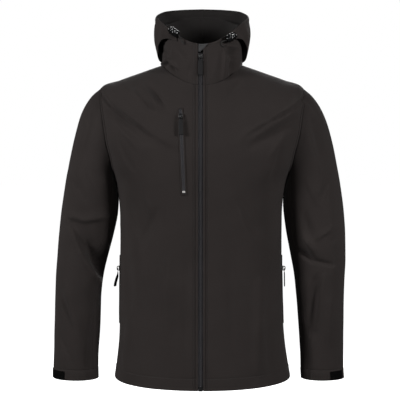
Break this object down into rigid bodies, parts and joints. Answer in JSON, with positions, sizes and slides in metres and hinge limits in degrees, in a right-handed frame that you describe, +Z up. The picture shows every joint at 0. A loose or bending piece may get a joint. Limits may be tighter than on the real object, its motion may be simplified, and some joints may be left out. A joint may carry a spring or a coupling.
{
  "type": "softshell jacket",
  "caption": "Hooded softshell jacket, worn form, with a full front zip, vertical chest pocket zip, side pocket zips, tabbed cuffs and a funnel-standing hood.",
  "frame": {"origin": "the centre of the neck seam at the height of the shoulder's neck points, where the wearer's neck and shoulders hold the jacket", "axes": "+X to the wearer's left, -Y to the front, +Z up"},
  "size_m": [0.6746, 0.2713, 0.8604],
  "materials": {
    "shell_cloth": "matt bonded softshell",
    "loop_patch": "looped fastener pile",
    "zip_tape": "woven zip tape",
    "zip_coil": "nylon coil",
    "slider_metal": "black lacquered",
    "pull_tab": "moulded, satin",
    "end_stop": "pale satin",
    "cord_lock": "black gloss",
    "drawcord": "braided cord"
  },
  "bodies": {
    "jacket": {"front_right": "shell_cloth", "front_left": "shell_cloth", "back": "shell_cloth", "sleeve_right_top": "shell_cloth", "sleeve_right_under": "shell_cloth", "sleeve_left_top": "shell_cloth", "sleeve_left_under": "shell_cloth", "collar_right": "shell_cloth", "collar_left": "shell_cloth", "hood_right": "shell_cloth", "hood_left": "shell_cloth", "main_zip_tape_right": "zip_tape", "main_zip_tape_left": "zip_tape", "main_zip_chain": "zip_coil", "main_slider": "slider_metal", "main_zip_box": "slider_metal", "chin_guard": "shell_cloth", "chest_zip": "zip_coil", "chest_slider": "slider_metal", "chest_end_stop": "end_stop", "hand_zip_right": "zip_coil", "hand_right_slider": "slider_metal", "hand_zip_left": "zip_coil", "hand_left_slider": "slider_metal", "cuff_tab_right": "shell_cloth", "cuff_patch_right": "loop_patch", "cuff_tab_left": "shell_cloth", "cuff_patch_left": "loop_patch", "cord_lock_right": "cord_lock", "drawcord_right": "drawcord", "cord_lock_left": "cord_lock", "drawcord_left": "drawcord"},
    "main_puller": {"main_puller": "pull_tab"},
    "chest_puller": {"chest_puller": "pull_tab"},
    "hand_right_puller": {"hand_right_puller": "pull_tab"},
    "hand_left_puller": {"hand_left_puller": "pull_tab"}
  },
  "joints": [
    {"name": "main_puller_swing", "type": "hinge", "parent": "jacket", "child": "main_puller", "pos_m": [-0.00011, -0.09234, 0.01663], "axis": [-0.9995, 0.0312, 0], "range_deg": [0, 150]},
    {"name": "chest_puller_swing", "type": "hinge", "parent": "jacket", "child": "chest_puller", "pos_m": [-0.04398, -0.124, -0.11582], "axis": [-0.9987, 0.0269, -0.043], "range_deg": [0, 150]},
    {"name": "hand_right_puller_swing", "type": "hinge", "parent": "jacket", "child": "hand_right_puller", "pos_m": [-0.18999, -0.01651, -0.46435], "axis": [-0.0685, 0.9977, 0], "range_deg": [0, 45]},
    {"name": "hand_left_puller_swing", "type": "hinge", "parent": "jacket", "child": "hand_left_puller", "pos_m": [0.19276, -0.01668, -0.46432], "axis": [-0.0692, -0.9976, 0], "range_deg": [0, 25]}
  ]
}
